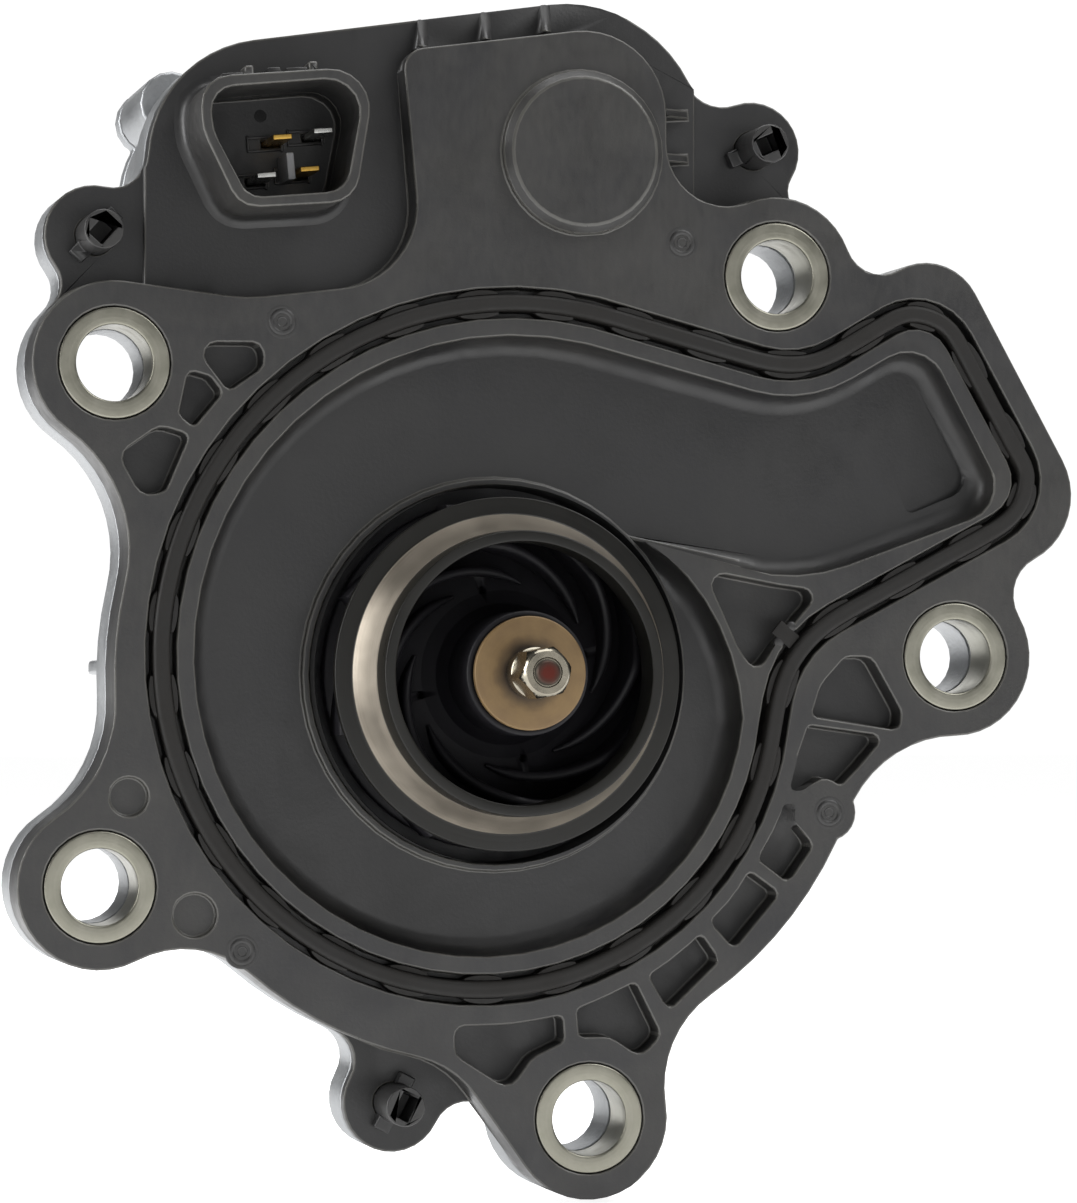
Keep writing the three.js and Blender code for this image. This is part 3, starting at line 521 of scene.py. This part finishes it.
def spin(profile, steps):
    """A bmesh in millimetres of a profile turned about Y."""
    work = bmesh.new()
    rings = []
    for k in range(steps):
        angle = 2 * math.pi * k / steps
        rings.append([
            work.verts.new((r * math.cos(angle), y, r * math.sin(angle))) if r > 1e-4 or k == 0 else None
            for r, y in profile
        ])
    for row in rings[1:]:
        for i, vert in enumerate(row):
            if vert is None:
                row[i] = rings[0][i]
    count = len(profile)
    for k in range(steps):
        here, there = rings[k], rings[(k + 1) % steps]
        for i in range(count):
            j = (i + 1) % count
            corners = []
            for vert in (here[i], here[j], there[j], there[i]):
                if vert not in corners:
                    corners.append(vert)
            if len(corners) > 2:
                work.faces.new(corners)
    bmesh.ops.recalc_face_normals(work, faces=work.faces)
    return work


def turned_again(node, fillet, finish=None, steps=160):
    """Stands for a turned CAD node with the same profile, its corners rounded and many more sides."""
    profile, centre = turned_profile(node)
    work = spin(filleted(profile, fillet), steps)
    slot = SLOT_OF[node]
    return piece(node + "_finished", work, finish or slot, body_of(node), centre, [node])


def block(width, depth, height, turn=0.0, bevel=0.15):
    """A bmesh block in millimetres about the origin, turned about Y, with rounded edges."""
    work = bmesh.new()
    bmesh.ops.create_cube(work, size=1)
    bmesh.ops.scale(work, vec=(width, depth, height), verts=work.verts)
    bmesh.ops.bevel(work, geom=work.edges[:] + work.verts[:], offset=bevel, segments=2, affect="EDGES",
                    profile=0.5)
    bmesh.ops.rotate(work, matrix=Matrix.Rotation(-turn, 3, "Y"), verts=work.verts, cent=(0, 0, 0))
    return work


def outline_loops(node, level):
    """A node's closed loops of sharp edges at a depth in metres, longest first, as (x, z) millimetres."""
    work = clean_copy(node)
    edges = [e for e in work.edges if all(abs(v.co.y - level) < SAME_PLACE for v in e.verts)
             and e.calc_face_angle(0) > OUTLINE_EDGE]
    links = {}
    for edge in edges:
        for vert in edge.verts:
            links.setdefault(vert, []).append(edge.other_vert(vert))
    loops, used = [], set()
    for start in links:
        if start in used:
            continue
        loop = [start]
        used.add(start)
        while True:
            following = [v for v in links[loop[-1]] if v not in used]
            if not following:
                break
            loop.append(following[0])
            used.add(following[0])
        loops.append([Vector((v.co.x / MM, v.co.z / MM)) for v in loop])
    work.free()
    return sorted(loops, key=loop_length, reverse=True)


def loop_length(loop):
    return sum((loop[i] - loop[i - 1]).length for i in range(len(loop)))


def resampled(loop, count):
    """Evenly spaced points on a closed loop."""
    step = loop_length(loop) / count
    result, travelled, target = [], 0.0, 0.0
    for i in range(len(loop)):
        start, end = loop[i], loop[(i + 1) % len(loop)]
        length = (end - start).length
        while target < travelled + length and len(result) < count:
            result.append(start.lerp(end, (target - travelled) / max(length, 1e-9)))
            target += step
        travelled += length
    return result


def relaxed(loop, rounds):
    """The loop after each point has moved towards its neighbours' middle."""
    for _ in range(rounds):
        loop = [loop[i] * 0.5 + (loop[i - 1] + loop[(i + 1) % len(loop)]) * 0.25 for i in range(len(loop))]
    return loop


def nearest_on(loop, point):
    return min(loop, key=lambda p: (p - point).length_squared)


def row_across(work, centre, side, section):
    """Vertices at the (offset, depth) points of a section, laid across a line at one of its points."""
    return [work.verts.new((centre.x + side.x * o, y, centre.y + side.y * o)) for o, y in section]


def swept(line, section):
    """A closed strip in millimetres: section(i) gives the (offset, depth) points across it at sample i."""
    work = bmesh.new()
    rows = []
    count = len(line)
    for i in range(count):
        ahead = (line[(i + 1) % count] - line[i - 1]).normalized()
        side = Vector((ahead.y, -ahead.x))
        rows.append(row_across(work, line[i], side, section(i)))
    for i in range(count):
        here, there = rows[i], rows[(i + 1) % count]
        for k in range(len(here)):
            j = (k + 1) % len(here)
            work.faces.new((here[k], here[j], there[j], there[k]))
    bmesh.ops.recalc_face_normals(work, faces=work.faces)
    return work


# ---------------------------------------------------------------- pieces


GASKET = {"half": 1.0, "gap": 0.1, "pad": 0.66, "pitch": 9.4, "pad_share": 0.27, "pad_level": 0.06}
GASKET_SAMPLES = 900
NIB = {"x": 35.4, "z": 4.9, "turn": math.radians(140), "length": 3.0, "width": 2.0, "ends": 1.2}


def make_gasket():
    """A rounded bead with flat lens-shaped pads that grip the groove on both sides every few millimetres."""
    low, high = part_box("gasket")
    front, back = low.y / MM, high.y / MM
    outer, inner = outline_loops("gasket", low.y)[:2]
    inner = resampled(inner, 2400)
    middle = [(p + nearest_on(inner, p)) / 2 for p in resampled(outer, GASKET_SAMPLES)]
    line = relaxed(middle, 40)
    pads = round(loop_length(line) / GASKET["pitch"])
    half, foot = GASKET["half"], GASKET["half"] + GASKET["gap"]

    def section(i):
        phase = (i * pads / GASKET_SAMPLES) % 1.0
        lens = max(0.0, 1 - ((phase - 0.5) / GASKET["pad_share"]) ** 2) ** 0.6
        pad = foot + GASKET["pad"] * lens
        level = GASKET["pad_level"] + 1.1 * (1 - min(1.0, lens * 5))
        side = [(pad, back), (pad, level + 0.3), (pad - 0.1 * lens, level + 0.06), (foot, level),
                (half + 0.03, level + 0.16), (half - 0.02, front + 0.42), (half - 0.1, front + 0.22),
                (half - 0.3, front + 0.08), (half - 0.5, front + 0.03), (0.2, front + 0.05)]
        return side + [(-o, y) for o, y in reversed(side)]

    piece("gasket_bead", swept(line, section), "seal_rubber", "housing", stands_for=["gasket"],
          sharp=math.radians(60))


def make_gasket_nib():
    """The gasket's tab in a gap of the rib beside it, and the rib's two rounded ends."""
    turn = NIB["turn"]
    piece("gasket_nib", block(NIB["length"], 0.5, NIB["width"], turn, 0.12), "seal_rubber", "housing",
          Vector((NIB["x"], 0.22, NIB["z"])) * MM)
    rounded_end = [(0.0, -0.04), (0.4, -0.02), (0.62, 0.1), (0.72, 0.3), (0.74, 0.6), (0.0, 0.6)]
    for k, way in enumerate((-1, 1)):
        reach = way * NIB["ends"]
        place = Vector((NIB["x"] + reach * math.sin(turn), 0, NIB["z"] - reach * math.cos(turn))) * MM
        piece(f"rib_end_{k + 1}", spin(rounded_end, 32), "pps_plastic", "housing", place)


# The impeller's surfaces as (radius, depth) in millimetres.
HUB_FRONT = [(8.4, -1.6), (10.0, -0.7), (14.0, 0.8), (18.0, 2.6), (21.0, 3.4)]
SHROUD_INSIDE = [(11.0, -1.2), (15.0, -6.0), (16.2, -4.4), (17.6, -3.0), (19.0, -2.3), (21.0, -2.1)]
HUB_BORE, HUB_RADIUS, HUB_TOP = 6.45, 7.3, -13.0
BALANCE_HOLES = {"count": 4, "first": 14, "circle": 10.3, "radius": 0.5, "depth": 5}
BLADES = {"count": 8, "inner": 11.0, "outer": 20.8, "rim": 21, "sweep": 2.15, "first": 0.59, "half": 0.55,
          "steps": 36}


def make_impeller():
    """Rear plate, hub and eight swept blades, rebuilt with smooth curves."""
    profile = [(HUB_BORE, HUB_TOP), (HUB_RADIUS, HUB_TOP), (HUB_RADIUS, -3.4), *HUB_FRONT,
               (21, 5.0), (12, 5.2), (9, 7.0), (9, 11.7), (HUB_BORE, 11.7)]
    plate = piece("impeller_plate", spin(filleted(profile, 0.4), 128), "impeller_black", "rotor",
                  stands_for=["impeller"])
    cutter = piece("balance_hole_cutter", balance_holes(), "socket_dark", "rotor")
    cut = plate.modifiers.new("balance_holes", "BOOLEAN")
    cut.object = cutter
    apply_modifiers(plate)
    bpy.data.objects.remove(cutter)
    for k in range(BLADES["count"]):
        piece(f"impeller_blade_{k + 1}", blade(k), "impeller_black", "rotor", sharp=math.radians(50))


def balance_holes():
    holes = bmesh.new()
    circle, radius = BALANCE_HOLES["circle"], BALANCE_HOLES["radius"]
    for k in range(BALANCE_HOLES["count"]):
        angle = math.radians(BALANCE_HOLES["first"] + 90 * k)
        place = Matrix.Translation((circle * math.cos(angle), 0, circle * math.sin(angle)))
        along_y = place @ Matrix.Rotation(math.pi / 2, 4, "X")
        bmesh.ops.create_cone(holes, cap_ends=True, segments=24, radius1=radius, radius2=radius,
                              depth=BALANCE_HOLES["depth"], matrix=along_y)
    return holes


def apply_modifiers(made):
    depsgraph = bpy.context.evaluated_depsgraph_get()
    mesh = bpy.data.meshes.new_from_object(made.evaluated_get(depsgraph))
    made.modifiers.clear()
    made.data = mesh


def blade(index):
    """One blade: a swept wall whose front edge follows the inside of the front shroud."""
    inner, outer, steps = BLADES["inner"], BLADES["outer"], BLADES["steps"]
    turn_per_log = BLADES["sweep"] / math.log(BLADES["rim"] / inner)
    lean = math.atan(turn_per_log)
    work = bmesh.new()
    rows = []
    for i in range(steps + 1):
        radius = inner + (outer - inner) * i / steps
        angle = BLADES["first"] + index * math.pi / 4 + turn_per_log * math.log(radius / inner)
        side = Vector((-math.sin(angle + lean), math.cos(angle + lean)))
        centre = Vector((radius * math.cos(angle), radius * math.sin(angle)))
        near, far = along(SHROUD_INSIDE, radius), along(HUB_FRONT, radius) + 0.3
        taper = BLADES["half"] * min(1.0, 0.35 + i / 5)
        section = [(-taper, far), (-taper, near + 0.35), (-taper * 0.7, near + 0.08), (0, near),
                   (taper * 0.7, near + 0.08), (taper, near + 0.35), (taper, far)]
        rows.append(row_across(work, centre, side, section))
    for i in range(steps):
        for k in range(len(rows[0])):
            j = (k + 1) % len(rows[0])
            work.faces.new((rows[i][k], rows[i][j], rows[i + 1][j], rows[i + 1][k]))
    work.faces.new(rows[0])
    work.faces.new(rows[-1])
    bmesh.ops.recalc_face_normals(work, faces=work.faces)
    return work


def along(points, x):
    """Straight-line interpolation in a list of (x, y)."""
    for (x0, y0), (x1, y1) in zip(points, points[1:]):
        if x <= x1:
            return y0 + (y1 - y0) * max(0.0, (x - x0) / (x1 - x0))
    return points[-1][1]


CAD_THROAT = Vector((16.85, -6.8))
THROAT = (16.82, -7.9)


def make_front_shroud():
    """The turned front shroud, its throat moved a little forward of the CAD's to lengthen the flare."""
    profile, centre = turned_profile("impeller_front_shroud")
    longer = [THROAT if (Vector(point) - CAD_THROAT).length < 0.1 else point for point in profile]
    piece("impeller_front_shroud_finished", spin(filleted(longer, 0.22), 240), "impeller_plastic", "rotor",
          centre, ["impeller_front_shroud"])


def make_well_painted_shade():
    """A near-black sheet on the wall of the well that the impeller turns in: painted shade."""
    profile = [(22.62, 0.5), (22.5, 0.7), (22.5, 6.6), (22.64, 6.6)]
    # the sheet is painted shade, not a part of the pump
    piece("well_painted_shade", spin(profile, 200), "socket_dark", "housing")


NUT = {"across_flats": 5.5, "turn": math.radians(12), "sides": 120}


def make_nut():
    """Hexagon with a chamfered end and a round collar."""
    levels = [(-22.3, 1.62), (-22.4, 1.75), (-22.4, 2.45), (-22.25, 2.62), (-22.0, 2.78), (-21.7, 2.95),
              (-21.3, 3.12), (-20.9, 3.3), (-17.2, 3.3), (-17.0, 3.3)]
    steps = NUT["sides"]
    work = bmesh.new()
    rings = []
    for y, limit in levels:
        ring = []
        for k in range(steps):
            angle = 2 * math.pi * k / steps
            offset = (angle - NUT["turn"]) % (math.pi / 3) - math.pi / 6
            radius = min(NUT["across_flats"] / 2 / math.cos(offset), limit)
            ring.append(work.verts.new((radius * math.cos(angle), y, radius * math.sin(angle))))
        rings.append(ring)
    for here, there in zip(rings, rings[1:]):
        for k in range(steps):
            j = (k + 1) % steps
            work.faces.new((here[k], here[j], there[j], there[k]))
    work.faces.new(rings[0])
    work.faces.new(rings[-1])
    bmesh.ops.recalc_face_normals(work, faces=work.faces)
    piece("nut_hexagon", work, "nut_steel", "housing", stands_for=["retaining_nut"],
          sharp=math.radians(24))
    collar = [(1.7, -17.25), (2.75, -17.25), (3.0, -17.0), (3.0, -14.42), (1.7, -14.42)]
    piece("nut_collar", spin(filleted(collar, 0.12), 96), "nut_steel", "housing")


GATES = [(-26.6, 41.5), (22.4, 52.1), (-31.3, -32.6), (40.9, -16.7)]


def make_gate_marks():
    """Injection points on the land: a dimple with a raised ring round it."""
    profile = [(0.0, 0.5), (0.28, 0.45), (0.36, 0.05), (0.6, -0.05), (0.75, 0.1), (0.9, 0.12),
               (1.05, -0.1), (1.25, -0.17), (1.45, -0.14), (1.6, 0.0), (1.8, -0.03), (2.0, 0.0),
               (2.05, 0.1), (2.05, 0.6), (0.0, 0.6)]
    for k, (x, z) in enumerate(GATES):
        piece(f"gate_mark_{k + 1}", spin(profile, 48), "pps_plastic", "housing",
              Vector((x, 0, z)) * MM, sharp=math.radians(50))


SKIRT_SAMPLES = 240


def make_connector_skirt():
    """The fillet at the foot of the cable socket, where it grows out of the platform."""
    low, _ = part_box("connector_shell")
    rim = resampled(outline_loops("connector_shell", low.y)[0], SKIRT_SAMPLES)
    outline = resampled(relaxed(rim, 2), SKIRT_SAMPLES)
    foot = 4.25
    area = sum(outline[i - 1].cross(outline[i]) for i in range(SKIRT_SAMPLES))
    outward = 1 if area > 0 else -1

    def section(_):
        profile = [(-0.5, foot - 1.6), (0.0, foot - 1.6), (0.06, foot - 1.2), (0.22, foot - 0.75),
                   (0.5, foot - 0.35), (0.95, foot - 0.12), (1.5, foot - 0.03),
                   (1.5, foot + 0.3), (-0.5, foot + 0.3)]
        return [(outward * o, y) for o, y in profile]

    piece("connector_skirt", swept(outline, section), "pps_plastic", "housing",
          sharp=math.radians(60))


SOCKET_TILT = 0.096


def make_socket_details():
    """Four bars round each blade's well, and a near-black disc of painted shade for a round drain in the
    socket's floor.
    """
    floor = 7.0
    bars = ((-0.9, 0.75, 4.2, 0.28), (-0.9, -0.85, 4.2, 0.28),
            (-2.95, -0.05, 0.28, 1.8), (1.15, -0.05, 0.28, 1.8))
    for k in range(4):
        low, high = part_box(f"terminal_{k + 1}")
        middle = (low + high) / 2 / MM
        for side, (dx, dz, width, height) in enumerate(bars):
            piece(f"terminal_well_{k + 1}_{side + 1}", block(width, 0.5, height, SOCKET_TILT, 0.06),
                  "pps_plastic", "housing",
                  Vector((middle.x + dx, floor - 0.2, middle.z + dz)) * MM)
    # the drain is a near-black disc: painted shade, not a hole
    dot = [(0.0, floor - 0.06), (0.72, floor - 0.06), (0.8, floor + 0.1), (0.0, floor + 0.1)]
    piece("socket_drain_shade", spin(dot, 32), "socket_dark", "housing",
          Vector((-28.0, 0, 66.7)) * MM)


# The catch on top of the cable socket, in millimetres: each of its two posts is a narrowed CAD block.
POSTS = ((-33.0, 71.2, -31.6), (-24.0, 72.1, -24.0))  # the CAD block's X and top, and the post's X
POST_NARROWING = 0.34
POST_DROP = 0.45
TOP_SLOPE = 0.0963


def narrow_posts(work):
    """Moves the corners of the two blocks, the only ones that lie between the socket's rim and its foot."""
    for vert in work.verts:
        if not -6 * MM < vert.co.y < -2 * MM:
            continue
        block_x, block_top, post_x = min(POSTS, key=lambda post: abs(vert.co.x / MM - post[0]))
        moved = (post_x + (vert.co.x / MM - block_x) * POST_NARROWING) * MM
        on_top = vert.co.z / MM - block_top > -0.6
        vert.co.z += (moved - vert.co.x) * TOP_SLOPE - POST_DROP * MM * on_top
        vert.co.x = moved


def make_latch():
    """A low wedge beside each post and a block between them."""
    parts = (("wedge_1", -33.5, 69.5, 2.6, 1.0), ("wedge_2", -25.9, 70.4, 2.6, 1.0),
             ("block", -28.6, 70.0, 1.6, 1.6))
    for name, x, z, width, height in parts:
        piece(f"latch_{name}", block(width, 2.6, height, math.radians(5.5), 0.18), "pps_plastic", "housing",
              Vector((x, -4.0, z)) * MM)


# Places where the body's edges stay sharp, in metres.
RAMP_FROM = Vector((40, 3.9, 15)) * MM
RAMP_BACK = 5.6 * MM
GUSSETS_FROM = {"height": 70 * MM, "beside": 18 * MM, "behind": 3 * MM}
BOSS_SIDE = Vector((36.8, -15.4)) * MM
BOSS_REACH = 2.5 * MM
LOWEST_TIP = -61 * MM


def on_outlet_ramp(edge):
    """The low step round the outlet channel's ramp fades out to nothing, so its edges stay sharp."""
    return all(RAMP_FROM.y < v.co.y < RAMP_BACK and v.co.x > RAMP_FROM.x and v.co.z > RAMP_FROM.z
               for v in edge.verts)


def at_top_gussets(edge):
    """The gussets end flush with the outline, where a rounding would have no room."""
    near = all(v.co.z > GUSSETS_FROM["height"] and abs(v.co.x) < GUSSETS_FROM["beside"] for v in edge.verts)
    return near and any(v.co.y > GUSSETS_FROM["behind"] for v in edge.verts)


def at_tight_corner(edge):
    """Where a pocket runs into a gate boss, and at the tip of the lowest lobe."""
    return any((v.co.xz - BOSS_SIDE).length < BOSS_REACH or v.co.z < LOWEST_TIP for v in edge.verts)


def kept_sharp(edge):
    return on_outlet_ramp(edge) or at_top_gussets(edge) or at_tight_corner(edge)


def finish_rest():
    """CAD nodes whose shape is right keep it, with softened edges or at least their own finish."""
    soften("pump_body", 0.24, skip=kept_sharp, edge_highlight_finish="pps_painted_edge_highlight")
    soften("connector_shell", 0.24, edge_highlight_finish="pps_painted_edge_highlight", reshape=narrow_posts)
    soften("motor_housing", 0.45)
    soften("electronics_cover", 0.35)
    soften("connector_key", 0.12)
    for k in range(3):
        soften(f"retaining_clip_{k + 1}", 0.2)
    for k in range(5):
        turned_again(f"bolt_sleeve_{k + 1}", 0.3, steps=128)
        soften(f"cover_screw_{k + 1}", 0.12)
    for k in range(4):
        soften(f"terminal_{k + 1}", 0.12, "gold_contact" if k in (0, 3) else "blade_steel")
    for k in range(6):
        soften(f"stator_coil_{k + 1}", 0.8, segments=3)
    for node in ("front_thrust_washer", "rear_thrust_washer", "rotor_core", "rotor_magnet", "rotor_bush",
                 "capacitor_1", "capacitor_2", "choke", "separation_can"):
        turned_again(node, 0.25)
    make_front_shroud()
    turned_again("shaft", 0.2, "stud_steel")
    for node in ("power_module", "circuit_board", "stator_core"):
        soften(node, 0.15)
    for node in ("can_seal", "cover_seal"):
        soften(node, 0.15)


def make_floor():
    low, _ = CAD_BOX
    work = bmesh.new()
    bmesh.ops.create_grid(work, x_segments=1, y_segments=1, size=6)
    mesh = bpy.data.meshes.new("floor")
    work.to_mesh(mesh)
    work.free()
    made = Finish("floor_white", Base_Color=(0.9, 0.9, 0.9, 1), Roughness=0.8, Emission_Color=(1, 1, 1, 1),
                  Emission_Strength=0.85, Specular_IOR_Level=0.1)
    mesh.materials.append(made.material)
    floor = bpy.data.objects.new("floor", mesh)
    floor.location = (0, 0, low.z - 0.0005)
    bpy.context.scene.collection.objects.link(floor)


make_camera()
make_lights()
make_world()
make_floor()
finish_rest()
make_gasket()
make_gasket_nib()
make_impeller()
make_well_painted_shade()
make_nut()
make_gate_marks()
make_connector_skirt()
make_socket_details()
make_latch()

bpy.context.scene.view_settings.view_transform = "Standard"
bpy.context.view_layer.update()
